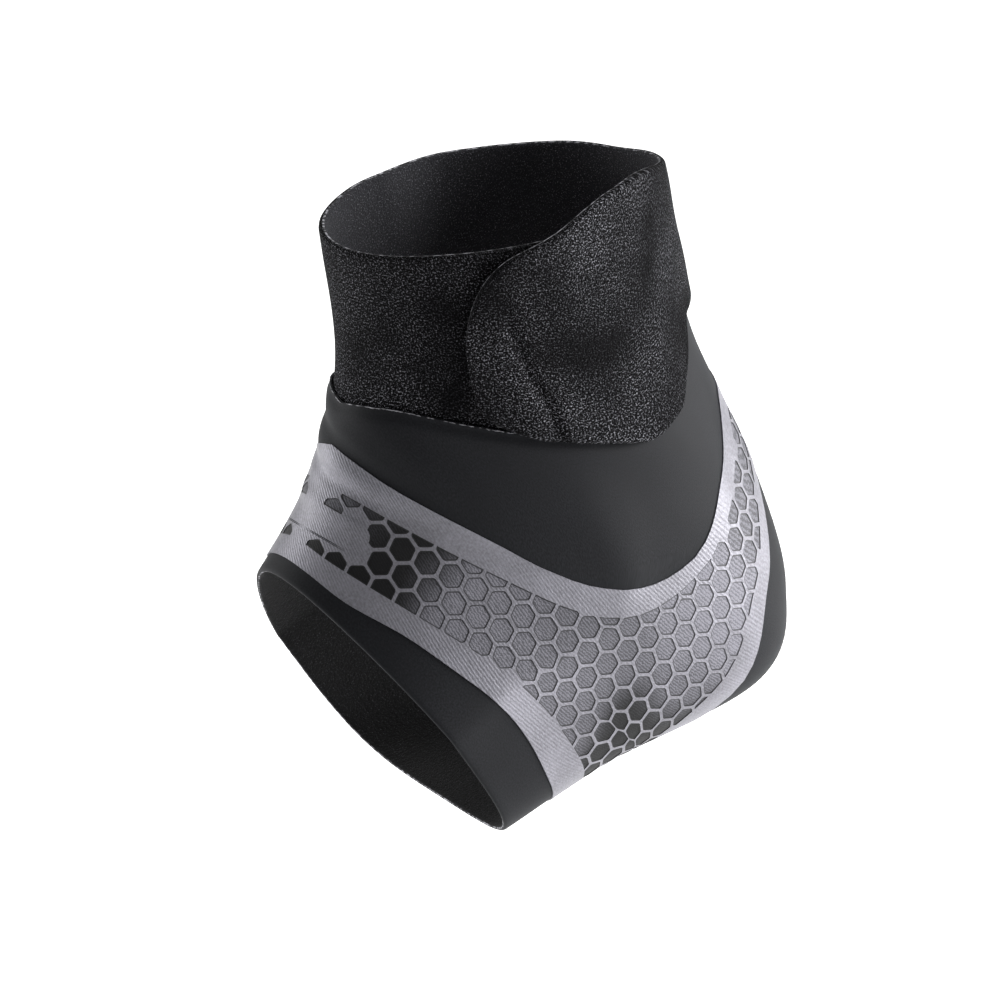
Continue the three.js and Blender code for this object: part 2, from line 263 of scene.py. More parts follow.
def creased(station, degrees):
    """How far the sleeve's cloth stands out of its plain form."""
    point = body_point(station, degrees)
    total = np.zeros(np.shape(point)[:-1])
    for crease in CREASES:
        middle = body_point(crease["station"], crease["angle"])
        along, around = slopes(crease["station"], crease["angle"])
        along, around = unit(along), unit(around)
        turn = math.radians(crease["turn"])
        way = along * math.cos(turn) + around * math.sin(turn)
        side = along * math.sin(turn) - around * math.cos(turn)
        offset = point - middle
        far = (offset @ way / crease["long"]) ** 2 + (offset @ side / crease["wide"]) ** 2
        away = offset @ np.cross(along, around)
        total += crease["deep"] * np.exp(-2 * far - (away / CREASE_THROUGH) ** 2)
    return total


def sleeve_point(station, degrees, distance=SLEEVE_OUTSIDE):
    """Points at a distance from the body, with the creases of the sleeve's cloth."""
    lift = distance + creased(station, degrees)
    return body_point(station, degrees) + outward(station, degrees) * lift[..., None]


def band_edges(degrees):
    """Stations of the band's lower and upper edge."""
    turned = np.asarray(degrees, float) % 360
    edge = at_angle(SLEEVE_TOP, "station", np.minimum(turned, 360 - turned))
    over = STRAP_GAP + (-TUCK - STRAP_GAP) * at_angle(BAND, "tuck", degrees)
    along, _ = slopes(edge, degrees)
    low = edge + at_angle(BAND, "rise", degrees) + over / np.linalg.norm(along, axis=-1)
    return low, at_angle(BAND, "high", degrees)


def heel_opening(margin):
    """The oval heel opening grown by a margin, in stations and degrees."""
    half_width = through(HALF_WIDTH, HEEL_STATION)
    edge = math.degrees(math.asin(min(HEEL_OPENING_WIDTH / 2 / half_width, WIDEST_SHARE)))
    along, _ = slopes(HEEL_STATION, 0.0)
    _, around = slopes(HEEL_STATION, edge)
    height = (HEEL_OPENING_HEIGHT / 2 + margin) / np.linalg.norm(along)
    return height, edge + margin / np.linalg.norm(around)


def half_tube(low, high, margin, below, beside, above, columns):
    """Stations and angles of a grid on the outer half of a tube with the heel opening in its back edge.
    low and high give its edges at an angle; below, beside and above count its rows."""
    height, width = heel_opening(margin)
    turn = np.pi * np.arange(beside + 1) / beside
    starts = np.concatenate([
        np.linspace(low(0.0), HEEL_STATION - height, below, endpoint=False),
        HEEL_STATION - height * np.cos(turn),
        np.linspace(HEEL_STATION + height, high(0.0), above + 1)[1:],
    ])
    fuller = 1 + HEEL_SKEW * margin * np.cos(turn)
    angles = np.concatenate([np.zeros(below), width * np.sin(turn) * fuller, np.zeros(above)])
    angles[below + beside] = 0
    way = np.arange(columns + 1) / columns
    crowding = 1.3
    degrees = angles[:, None] + (180 - angles[:, None]) * way ** crowding
    share = ((starts - low(angles)) / (high(angles) - low(angles)))[:, None]
    even = (np.arange(len(starts)) / (len(starts) - 1))[:, None]
    place = share + (even - share) * (way * way * (3 - 2 * way))
    return low(degrees) + (high(degrees) - low(degrees)) * place, degrees


# Meshes
MERGE_DISTANCE = 0.004  # points that are nearer than this are one
SLIVER = 0.002  # faces thinner than this are taken out


def make_mesh(name, points, faces, materials, slots=None, uv=None, merge=True):
    """An object from points in millimetres. slots gives a material number to each face and uv a place
    on the flat cloth, in millimetres, to each point."""
    mesh = bpy.data.meshes.new(name)
    mesh.from_pydata((np.asarray(points) * MM).tolist(), [], [list(face) for face in faces])
    for material in materials:
        mesh.materials.append(material)
    if slots is not None:
        mesh.polygons.foreach_set("material_index", np.asarray(slots, np.int32))
    if uv is not None:
        corners = np.zeros(len(mesh.loops), np.int32)
        mesh.loops.foreach_get("vertex_index", corners)
        mesh.uv_layers.new(name="cloth").data.foreach_set("uv", np.asarray(uv, float)[corners].ravel())
    mesh.polygons.foreach_set("use_smooth", np.ones(len(mesh.polygons), bool))
    if merge:
        work = bmesh.new()
        work.from_mesh(mesh)
        bmesh.ops.remove_doubles(work, verts=work.verts, dist=MERGE_DISTANCE * MM)
        bmesh.ops.dissolve_degenerate(work, edges=work.edges, dist=SLIVER * MM)
        work.to_mesh(mesh)
        work.free()
    mesh.update()
    piece = bpy.data.objects.new(name, mesh)
    bpy.context.scene.collection.objects.link(piece)
    return piece


def grid_faces(rows, columns, first=0, flip=False):
    """Faces of a grid of rows by columns points, numbered from first."""
    i, j = np.meshgrid(np.arange(rows - 1), np.arange(columns - 1), indexing="ij")
    a = (first + i * columns + j).ravel()
    around = [a, a + columns, a + columns + 1, a + 1]
    return np.stack(around[::-1] if flip else around, axis=1)


EDGE_STRIPS = (1, 1, 2, 0, 0, 0)  # materials over a rounded edge, from the inside out
EDGE_STEP = 0.4  # millimetres of cloth from one strip to the next
CORNER_STEPS = 3  # strips round a corner where two rounded edges meet


def lip(outer, inner, push):
    """Points of a rounded edge from an outer line of points to an inner one, bulging along push."""
    middle, half = (outer + inner) / 2, (outer - inner) / 2
    push = push / np.maximum(np.linalg.norm(push, axis=-1, keepdims=True), 1e-9)
    push = push * np.linalg.norm(half, axis=-1, keepdims=True)
    turns = np.linspace(0, np.pi, len(EDGE_STRIPS) + 1)
    return np.stack([middle + half * math.cos(t) + push * math.sin(t) for t in turns])


def wall(name, outer, inner, uv, materials, ring_rows):
    """A closed wall between two grids of points, with rounded edges. Material 0 is the outside, 1 the
    inside and 2 the cut edge, a pale strip that is partly painted highlight. ring_rows marks the rows whose
    ends meet."""
    rows, columns = outer.shape[:2]
    points, faces, slots, flat = [], [], [], []

    def add(block, flip, slot, places):
        first = sum(len(part) for part in points)
        made = grid_faces(block.shape[0], block.shape[1], first, flip)
        points.append(block.reshape(-1, 3))
        run = np.arange(len(block))[:, None] * (EDGE_STEP if len(block) == len(EDGE_STRIPS) + 1 else 0)
        places = places + run[:, :, None]
        flat.append(np.broadcast_to(places, block.shape[:2] + (2,)).reshape(-1, 2))
        faces.append(made)
        slots.append(np.repeat(slot, len(made) // np.size(slot)))

    def corner(row, column, first, last, flip):
        """Closes the end between two rounded edges, which bulge along first and along last."""
        turns = np.linspace(0, 1, CORNER_STEPS + 1)[:, None]
        ends = [np.tile(grid[row, column], (len(turns), 1)) for grid in (outer, inner, uv)]
        block = lip(ends[0], ends[1], unit(first) * (1 - turns) + unit(last) * turns)
        add(block[::-1], flip, EDGE_STRIPS, ends[2])

    add(outer, False, 0, uv)
    add(inner, True, 1, uv)
    for row, step, flip in ((0, 1, False), (rows - 1, -1, True)):
        add(lip(outer[row], inner[row], outer[row] - outer[row + step])[::-1], flip, EDGE_STRIPS, uv[row])

    open_rows = np.flatnonzero(~(ring_rows[:-1] & ring_rows[1:]))
    if len(open_rows):
        span = np.arange(open_rows[0], open_rows[-1] + 2)
        for column, step, flip in ((0, 1, True), (columns - 1, -1, False)):
            push = outer[span, column] - outer[span, column + step]
            add(lip(outer[span, column], inner[span, column], push)[::-1], flip, EDGE_STRIPS,
                uv[span, column])
        for row, step, flip in ((span[0], 1, False), (span[-1], -1, True)):
            sideways = [outer[row, c] - outer[row, c + way] for c, way in ((0, 1), (columns - 1, -1))]
            if ring_rows[row]:
                corner(row, 0, *(sideways if flip else sideways[::-1]), True)
            else:
                upright = [outer[row, c] - outer[row + step, c] for c in (0, columns - 1)]
                corner(row, 0, sideways[0], upright[0], flip)
                corner(row, columns - 1, upright[1], sideways[1], flip)
    return make_mesh(name, np.concatenate(points), np.concatenate(faces), materials, np.concatenate(slots),
                     np.concatenate(flat))


def mirrored(station, degrees):
    """A half grid and its mirror image as one grid from the back all the way round."""
    station = np.concatenate([station, station[:, -2::-1]], axis=1)
    return station, np.concatenate([degrees, 360 - degrees[:, -2::-1]], axis=1)


def lengths(points):
    """Places on the cloth for a grid of points: lengths along its rows and its columns."""
    around = np.linalg.norm(np.diff(points, axis=1), axis=-1)
    along = np.linalg.norm(np.diff(points, axis=0), axis=-1)
    u = np.concatenate([np.zeros((len(points), 1)), np.cumsum(around, axis=1)], axis=1)
    v = np.concatenate([np.zeros((1, points.shape[1])), np.cumsum(along, axis=0)], axis=0)
    return np.stack([u - u[:, u.shape[1] // 2][:, None], v], axis=-1)


# Materials

def colour(text):
    """A linear colour from an sRGB hex value."""
    parts = [int(text[i:i + 2], 16) / 255 for i in (1, 3, 5)]
    return [c / 12.92 if c <= 0.04045 else ((c + 0.055) / 1.055) ** 2.4 for c in parts] + [1.0]


def add_node(tree, kind, inputs=None, **settings):
    """A node with its settings; inputs holds values or the sockets that it is linked to."""
    made = tree.nodes.new(kind)
    for name, value in settings.items():
        setattr(made, name, value)
    for key, value in (inputs or {}).items():
        if isinstance(value, bpy.types.NodeSocket):
            tree.links.new(value, made.inputs[key])
        else:
            made.inputs[key].default_value = value
    return made


def new_material(name):
    material = bpy.data.materials.new(name)
    material.use_nodes = True
    material.node_tree.nodes.clear()
    return material, material.node_tree


def surface(tree, inputs):
    """Ends a material with its shader, whose inputs are given."""
    shader = add_node(tree, "ShaderNodeBsdfPrincipled", inputs)
    add_node(tree, "ShaderNodeOutputMaterial", {"Surface": shader.outputs[0]})


def cloth_place(tree):
    """Places on the flat cloth, in millimetres."""
    return add_node(tree, "ShaderNodeUVMap", uv_map="cloth").outputs[0]


def space_place(tree):
    """Places in the piece's own space, in metres."""
    return add_node(tree, "ShaderNodeTexCoord").outputs["Object"]


def noise(tree, place, scale, detail=2.0, roughness=0.5):
    return add_node(tree, "ShaderNodeTexNoise", {"Vector": place, "Scale": scale, "Detail": detail,
                    "Roughness": roughness}).outputs[0]


def bands(tree, place, scale, distortion, detail, detail_scale):
    """Slanting wavy bands."""
    return add_node(tree, "ShaderNodeTexWave", {"Vector": place, "Scale": scale, "Distortion": distortion,
                    "Detail": detail, "Detail Scale": detail_scale}, wave_type="BANDS",
                    bands_direction="DIAGONAL").outputs["Fac"]


def reached(tree, value, low, high, least=0.0):
    """How far a value is on its way from low to high, from least to 1."""
    return add_node(tree, "ShaderNodeMapRange", {"Value": value, "From Min": low, "From Max": high,
                    "To Min": least}).outputs[0]


def maths(tree, operation, *values, **settings):
    return add_node(tree, "ShaderNodeMath", dict(enumerate(values)), operation=operation,
                    **settings).outputs[0]


def mixed(tree, factor, none, full):
    """A colour between two hex values."""
    return add_node(tree, "ShaderNodeMix", {"Factor": factor, 6: colour(none), 7: colour(full)},
                    data_type="RGBA").outputs[2]


def bumped(tree, height, strength, depth, **settings):
    """The normal of a relief whose depth is given in millimetres."""
    return add_node(tree, "ShaderNodeBump", {"Height": height, "Strength": strength,
                    "Distance": depth * MM}, **settings).outputs[0]


def stretch_nylon():
    """Smooth stretch nylon, warp knitted from fine bright yarn: dull, slightly sheened dark grey with a
    faint grain of stitches. The stitches, 0.25 mm across, are drawn at 0.4 mm so that they show."""
    material, tree = new_material("stretch_nylon")
    place = cloth_place(tree)
    grain = noise(tree, place, 2.4, 3.0)
    mottle = maths(tree, "MULTIPLY", noise(tree, place, 0.05, 1.0), reached(tree, grain, 0.35, 0.7))
    surface(tree, {"Base Color": mixed(tree, mottle, "#111215", "#242529"), "Roughness": 0.65, "IOR": 1.53,
            "Specular IOR Level": 0.14, "Sheen Weight": 0.02, "Sheen Roughness": 0.4,
            "Sheen Tint": colour("#c9ccd6"), "Normal": bumped(tree, grain, 0.25, 0.1)})
    return material


def loop_lining(name, dark, bright):
    """Brushed loop knit inside the brace: short black nylon loops that swallow the light, so it is almost
    black with a few bright ends. Loops 0.25 mm across are drawn at 0.5 mm so that they show."""
    material, tree = new_material(name)
    place = cloth_place(tree)
    loops = add_node(tree, "ShaderNodeTexVoronoi", {"Vector": place, "Scale": 2.0}, feature="SMOOTH_F1")
    fuzz = noise(tree, place, 3.0)
    rise = maths(tree, "SUBTRACT", loops.outputs["Distance"], fuzz)
    surface(tree, {"Base Color": mixed(tree, reached(tree, fuzz, 0.58, 0.8), dark, bright),
            "Roughness": 0.95, "IOR": 1.53, "Specular IOR Level": 0.2, "Sheen Weight": 0.05,
            "Sheen Roughness": 0.6, "Normal": bumped(tree, rise, 0.7, 0.25)})
    return material


def cut_edge_and_highlight():
    """The cut edge of laminated stretch cloth: a thin grey line, partly the pale core and yarn ends and
    partly a painted highlight where the rim catches the light.
    """
    material, tree = new_material("cut_edge_and_highlight")
    tint = add_node(tree, "ShaderNodeValToRGB", {"Fac": noise(tree, space_place(tree), 0.9 / MM)})
    dark, pale = tint.color_ramp.elements
    dark.color, pale.color = colour("#17171a"), colour("#a6a6ac")
    dark.position, pale.position = 0.45, 0.62
    surface(tree, {"Base Color": tint.outputs[0], "Roughness": 0.85, "IOR": 1.53})
    return material


def silver_film():
    """Heat-bonded polyurethane film with aluminium pigment: a satin silver grey, softer than metal, that
    takes on the ribs of the knit under it. Ribs 0.3 mm apart are drawn at 0.6 mm so that they show."""
    material, tree = new_material("silver_film")
    place = space_place(tree)
    ribs = bands(tree, place, 0.62 / MM, 2.5, 2.0, 2.0)
    grain = noise(tree, place, 1.8 / MM, 4.0)
    mottle = maths(tree, "ADD", grain, noise(tree, place, 0.06 / MM))
    tint = mixed(tree, reached(tree, mottle, 0.7, 1.3), "#67666c", "#88878f")
    surface(tree, {"Base Color": tint, "Roughness": 0.45, "Metallic": 0.35, "IOR": 1.5,
            "Normal": bumped(tree, maths(tree, "ADD", ribs, grain), 0.5, 0.08)})
    return material


def cell_print():
    """Screen-printed ink inside the cells: a halftone that fades from black to silver, broken by the knit
    below into short slanting strokes. Strokes 0.3 mm apart are drawn at 0.5 mm so that they show."""
    material, tree = new_material("cell_print")
    place = space_place(tree)
    ink = add_node(tree, "ShaderNodeAttribute", attribute_name="ink").outputs["Fac"]
    strokes = bands(tree, place, 0.7 / MM, 5.0, 3.0, 2.5)
    broken = maths(tree, "MULTIPLY", strokes, noise(tree, place, 3.2 / MM, 3.0))
    spread = maths(tree, "MULTIPLY_ADD", broken, 1.5, -0.42)
    lighter = maths(tree, "MULTIPLY", spread, maths(tree, "SUBTRACT", 1.05, ink))
    dark = maths(tree, "SUBTRACT", ink, lighter, use_clamp=True)
    surface(tree, {"Base Color": mixed(tree, dark, "#7c7b83", "#08080a"), "Roughness": 0.6, "Metallic": 0.1,
            "IOR": 1.5, "Specular IOR Level": 0.3, "Normal": bumped(tree, broken, 0.5, 0.08)})
    return material


def cell_line():
    """The ink's overprint round each cell: a fine darker line, satin as the ink."""
    material, tree = new_material("cell_line")
    ink = add_node(tree, "ShaderNodeAttribute", attribute_name="ink").outputs["Fac"]
    surface(tree, {"Base Color": mixed(tree, ink, "#454449", "#09090a"), "Roughness": 0.6, "IOR": 1.5})
    return material


def pile_cloth():
    """Unbroken loop pile, a brushed polyamide knit that hook tape grips: matt black with a dense grain of
    loops, some of which catch the light. Loops 0.2 mm across are drawn at 0.4 mm so that they show."""
    material, tree = new_material("pile_cloth")
    place = cloth_place(tree)
    loops = add_node(tree, "ShaderNodeTexVoronoi", {"Vector": place, "Scale": 2.3, "Randomness": 1.0},
                     feature="SMOOTH_F1")
    fuzz = noise(tree, place, 2.6, 3.0, 0.65)
    worn = reached(tree, noise(tree, place, 0.04), 0.35, 0.65, 0.1)
    bright = maths(tree, "MULTIPLY", reached(tree, fuzz, 0.54, 0.72), worn)
    rise = maths(tree, "SUBTRACT", fuzz, loops.outputs["Distance"])
    surface(tree, {"Base Color": mixed(tree, bright, "#040405", "#b2b2ba"), "Roughness": 0.9, "IOR": 1.53,
            "Specular IOR Level": 0.05, "Sheen Weight": 0.01, "Sheen Roughness": 0.5,
            "Normal": bumped(tree, rise, 1.0, 0.35)})
    return material


def hook_tape():
    """Moulded polyamide hook tape: black, with dull stubs 1 mm apart."""
    material, tree = new_material("hook_tape")
    stubs = add_node(tree, "ShaderNodeTexVoronoi", {"Vector": cloth_place(tree), "Scale": 1.0,
                     "Randomness": 0.1})
    surface(tree, {"Base Color": colour("#121214"), "Roughness": 0.5, "IOR": 1.53,
            "Normal": bumped(tree, stubs.outputs["Distance"], 0.8, 0.4, invert=True)})
    return material


nylon = stretch_nylon()
lining = loop_lining("loop_lining", "#0b0b0c", "#48484d")
backing = loop_lining("knit_backing", "#202024", "#83838a")
# cut: the pale cut-edge strip, partly the cloth's core and partly painted highlight along the rims
cut = cut_edge_and_highlight()
film_silver = silver_film()
film_cell = cell_print()
film_line = cell_line()
pile = pile_cloth()
hooks = hook_tape()


def finished(piece, node):
    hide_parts(node)
    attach(piece, "root")
    return piece


# The sleeve. Its upper edge is pressed thin against the band.
PRESSED = 0.75  # how much nearer to the body the edge lies


def sleeve_low(degrees):
    return np.zeros_like(np.asarray(degrees, float))


def sleeve_high(degrees):
    return at_angle(SLEEVE_TOP, "station", degrees)


station, degrees = mirrored(*half_tube(sleeve_low, sleeve_high, 0, 32, 46, 30, 84))
along, _ = slopes(station, degrees)
to_edge = (sleeve_high(np.minimum(degrees, 360 - degrees)) - station) * np.linalg.norm(along, axis=-1)
outer = sleeve_point(station, degrees, SLEEVE_OUTSIDE - PRESSED * np.exp(-((to_edge / 1.8) ** 2)))
rings = np.abs(degrees[:, -1] - degrees[:, 0] - 360) < 1e-6
sleeve = wall("sleeve_cloth", outer, sleeve_point(station, degrees, SLEEVE_INSIDE), lengths(outer),
              [nylon, lining, cut], rings)
finished(sleeve, "sleeve")

# Cut ends of bright yarn along the sleeve's upper edge
THREADS = 190
THREAD_LENGTH = (0.7, 1.7)
THREAD_THICK = 0.11
THREAD_ENDS = (0.3, 1, 0.3)  # shares of the thickness at the ends and in the middle
THREAD_SIDES = 5
THREAD_ANGLES = (84, 276)  # degrees, between which they stick out


def edge_threads():
    chance = np.random.default_rng(7)
    points, faces = [], []
    for degrees in np.sort(chance.uniform(*THREAD_ANGLES, THREADS)):
        turned = min(degrees, 360 - degrees)
        station = sleeve_high(turned) + 0.004
        _, around = slopes(float(station), float(degrees))
        span = chance.uniform(*THREAD_LENGTH) / np.linalg.norm(around)
        lift = SLEEVE_OUTSIDE - PRESSED - chance.uniform(0, 0.12)
        ends = np.array([degrees - span / 2, degrees, degrees + span / 2])
        heights = sleeve_high(np.minimum(ends, 360 - ends)) + chance.uniform(-0.006, 0.012, 3)
        spine = sleeve_point(heights, ends, lift)
        away = outward(heights, ends)
        along, _ = slopes(heights, ends)
        up = along / np.linalg.norm(along, axis=-1, keepdims=True)
        first = len(points)
        for k, thick in enumerate(THREAD_ENDS):
            for turn in range(THREAD_SIDES):
                angle = 2 * math.pi * turn / THREAD_SIDES
                side = away[k] * math.cos(angle) + up[k] * math.sin(angle)
                points.append(spine[k] + THREAD_THICK * thick * side)
        for start in (first, first + THREAD_SIDES):
            for turn in range(THREAD_SIDES):
                after = (turn + 1) % THREAD_SIDES
                faces.append([start + turn, start + after, start + THREAD_SIDES + after,
                              start + THREAD_SIDES + turn])
        faces.append([first + turn for turn in range(THREAD_SIDES)][::-1])
        faces.append([first + 2 * THREAD_SIDES + turn for turn in range(THREAD_SIDES)])
    return make_mesh("edge_threads", points, faces, [yarn_ends()], merge=False)


def yarn_ends():
    """Trilobal nylon yarn seen end on and along its side: pale grey, with a soft gloss."""
    material, tree = new_material("yarn_ends")
    mottle = noise(tree, space_place(tree), 0.5 / MM)
    surface(tree, {"Base Color": mixed(tree, mottle, "#3b3b40", "#b4b4ba"), "Roughness": 0.5, "IOR": 1.53})
    return material


threads = edge_threads()
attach(threads, "root")

# The silver film. Its pattern is drawn on the flat cloth and carried to the bent sleeve.
HONEYCOMB_EDGES = table("angle low high", [
    (0, 0.66, 4.9),
    (30, 0.7, 4.68),
    (40, 0.74, 4.42),
    (50, 0.8, 4.02),
    (58, 0.84, 3.7),
    (66, 0.88, 3.3),
    (78, 0.94, 2.6),
    (87, 0.96, 2.14),
    (95, 0.97, 1.94),
    (106, 0.94, 1.88),
    (128, 0.84, 1.91),
    (145, 0.76, 1.98),
    (160, 0.72, 2.06),
    (180, 0.76, 2.12),
])
FILM_GRID = (9, 16, 5, 26)  # rows below, beside and above the heel opening, and columns
STATION_DEGREES = 25  # degrees that count as one station where places of the body are looked up
EDGE_CLEAR = 0.8  # how far the loose points stay from the film's edge
HEEL_BAND = 3.8  # width of plain film beside the heel opening
CELL_PITCH = 5.77  # from a cell to the one above it
CELL_STEP = 4.92  # from a column of cells to the next
ROW_TILT = -19.4  # degrees, of the columns' spacing against the line from toe to heel
COLUMN_TILT = -15.2  # degrees, of the columns against the upright
CELL_ORIGIN = (-6.6, 26.4)  # the middle of one cell on the flat film
CELL_CORNER = 0.1  # how much of a side each rounded corner takes
FIELD_FRONT = 169  # degrees, beyond which no cell is printed
LATTICE_LINE = 0.74  # width of the silver between two cells
CELL_LINE = 0.28  # width of the dark line inside a cell's edge
SMALLEST_CELL = 3.4  # square millimetres
PLAQUE_END = (150.5, 1.37)  # angle and station where the plain plaque's rounded end lies
PLAQUE_HEIGHT = 6.3
PLAQUE_ROUND = 2.6

# How dark the ink is round some places of the outer side: angle and station, darkness from 0 to 1, and
# how far its pull reaches, in millimetres
INK = table("angle station dark reach", [
    (168, 2.0, 0.5, 4),
    (156, 1.8, 0.85, 5),
    (150, 1.0, 1.0, 8),
    (139, 1.5, 1.0, 7),
    (129, 1.45, 0.75, 4),
    (119, 1.35, 0.12, 6),
    (106, 1.2, 0.35, 8),
    (96, 1.7, 0.5, 6),
    (82, 1.8, 0.5, 6),
    (80, 1.2, 0.4, 8),
    (74, 2.2, 0.22, 6),
    (66, 2.6, 0.02, 8),
    (55, 2.5, 0.02, 8),
    (50, 3.6, 0.5, 8),
    (38, 4.2, 0.55, 9),
    (62, 1.7, 0.4, 6),
    (50, 1.15, 1.0, 9),
    (66, 0.95, 0.5, 5),
    (32, 1.3, 1.0, 12),
])


def film_low(degrees):
    return at_angle(FILM_EDGES, "low", degrees)


def film_high(degrees):
    return at_angle(FILM_EDGES, "high", degrees)


def cells_low(degrees):
    return at_angle(HONEYCOMB_EDGES, "low", degrees)


def cells_high(degrees):
    return at_angle(HONEYCOMB_EDGES, "high", degrees)


def between(values, place):
    """Values of a row at places between them, on straight lines."""
    index = np.minimum(np.floor(place).astype(int), len(values) - 2)
    t = (place - index).reshape((-1,) + (1,) * (values.ndim - 1))
    return values[index] * (1 - t) + values[index + 1] * t


def grid_triangles(rows, columns):
    quads = grid_faces(rows, columns)
    return np.concatenate([quads[:, [0, 1, 2]], quads[:, [0, 2, 3]]])


def crossed(a, b):
    """The plane cross products of two rows of vectors."""
    return a[:, 0] * b[:, 1] - a[:, 1] * b[:, 0]


def lay_flat(points, triangles, flat, rounds=200):
    """The flat cloth of a bent patch: places with as little stretch as can be, from a first guess."""
    a, b, c = (points[triangles[:, i]] for i in range(3))
    side = b - a
    length = np.linalg.norm(side, axis=1)
    across = np.cross(np.cross(side, c - a), side)
    across /= np.linalg.norm(across, axis=1, keepdims=True)
    own = np.zeros((len(triangles), 3, 2))
    own[:, 1, 0] = length
    own[:, 2, 0] = np.einsum("ij,ij->i", c - a, side) / length
    own[:, 2, 1] = np.einsum("ij,ij->i", c - a, across)
    pull = np.zeros((len(points), len(points)))
    weights = []
    for k in range(3):
        i, j = (k + 1) % 3, (k + 2) % 3
        p, q = own[:, i] - own[:, k], own[:, j] - own[:, k]
        weight = np.einsum("ij,ij->i", p, q) / np.abs(crossed(p, q)) / 2
        weights.append(np.clip(weight, 0.02, None))
        for m, n in ((i, j), (j, i)):
            np.add.at(pull, (triangles[:, m], triangles[:, m]), weights[k])
            np.add.at(pull, (triangles[:, m], triangles[:, n]), -weights[k])
    pull[0] = 0
    pull[0, 0] = 1
    solve = np.linalg.inv(pull)
    for _ in range(rounds):
        turn = np.zeros((len(triangles), 2, 2))
        for k in range(3):
            i, j = triangles[:, (k + 1) % 3], triangles[:, (k + 2) % 3]
            edge = own[:, (k + 1) % 3] - own[:, (k + 2) % 3]
            turn += weights[k][:, None, None] * (flat[i] - flat[j])[:, :, None] * edge[:, None, :]
        left, _, right = np.linalg.svd(turn)
        left[:, :, 1] *= np.sign(np.linalg.det(left @ right))[:, None]
        turn = left @ right
        goal = np.zeros_like(flat)
        for k in range(3):
            i, j = (k + 1) % 3, (k + 2) % 3
            edge = np.einsum("tij,tj->ti", turn, own[:, i] - own[:, j]) * weights[k][:, None]
            np.add.at(goal, triangles[:, i], edge)
            np.add.at(goal, triangles[:, j], -edge)
        goal[0] = flat[0]
        flat = solve @ goal
    return flat


class Carrier:
    """Carries places from one plane map of a grid to the values that its points have in another."""

    def __init__(self, places, triangles):
        self.places, self.triangles = np.asarray(places, float), triangles
        flat = np.column_stack([self.places, np.zeros(len(places))])
        self.tree = BVHTree.FromPolygons(flat.tolist(), triangles.tolist())

    def __call__(self, wanted, values):
        found = [self.tree.find_nearest((x, y, 0)) for x, y in wanted]
        corners = self.triangles[[hit[2] for hit in found]]
        near = np.array([hit[0][:2] for hit in found])
        a, b, c = (self.places[corners[:, i]] for i in range(3))
        whole = crossed(b - a, c - a)
        v = crossed(near - a, c - a) / whole
        w = crossed(b - a, near - a) / whole
        shares = np.stack([1 - v - w, v, w], axis=1)
        return np.einsum("ij,ijk->ik", shares, np.asarray(values)[corners])


def outline(grid):
    """The edge of a grid of places, once round."""
    return np.concatenate([grid[0], grid[1:, -1], grid[-1, -2::-1], grid[-2:0:-1, 0]])


def inset(polygon, width):
    """A polygon with its edge moved in by a width (its points run anticlockwise)."""
    before, after = np.roll(polygon, 1, axis=0), np.roll(polygon, -1, axis=0)
    way = after - before
    way /= np.linalg.norm(way, axis=1, keepdims=True)
    return polygon + np.column_stack([-way[:, 1], way[:, 0]]) * width


def anticlockwise(polygon):
    x, y = polygon.T
    area = np.sum(x * np.roll(y, -1) - y * np.roll(x, -1)) / 2
    return polygon if area > 0 else polygon[::-1]


def hexagon(middle, along, up, size):
    """A cell of the pattern with rounded corners, from the steps between cells and its share of them."""
    turns = np.radians(60 * np.arange(7))
    corners = np.outer(np.cos(turns) * 2 / 3, along) + np.outer(np.sin(turns) / math.sqrt(3), up)
    start, end = corners[:-1], corners[1:]
    rounded = np.stack([start + (end - start) * CELL_CORNER, end - (end - start) * CELL_CORNER], axis=1)
    return middle + rounded.reshape(-1, 2) * size


def inside(points, polygon):
    """Which points lie inside a polygon."""
    x, y = points.T
    found = np.zeros(len(points), bool)
    for (x0, y0), (x1, y1) in zip(polygon, np.roll(polygon, -1, axis=0)):
        if y0 != y1:
            found ^= ((y0 > y) != (y1 > y)) & (x < (x1 - x0) * (y - y0) / (y1 - y0) + x0)
    return found


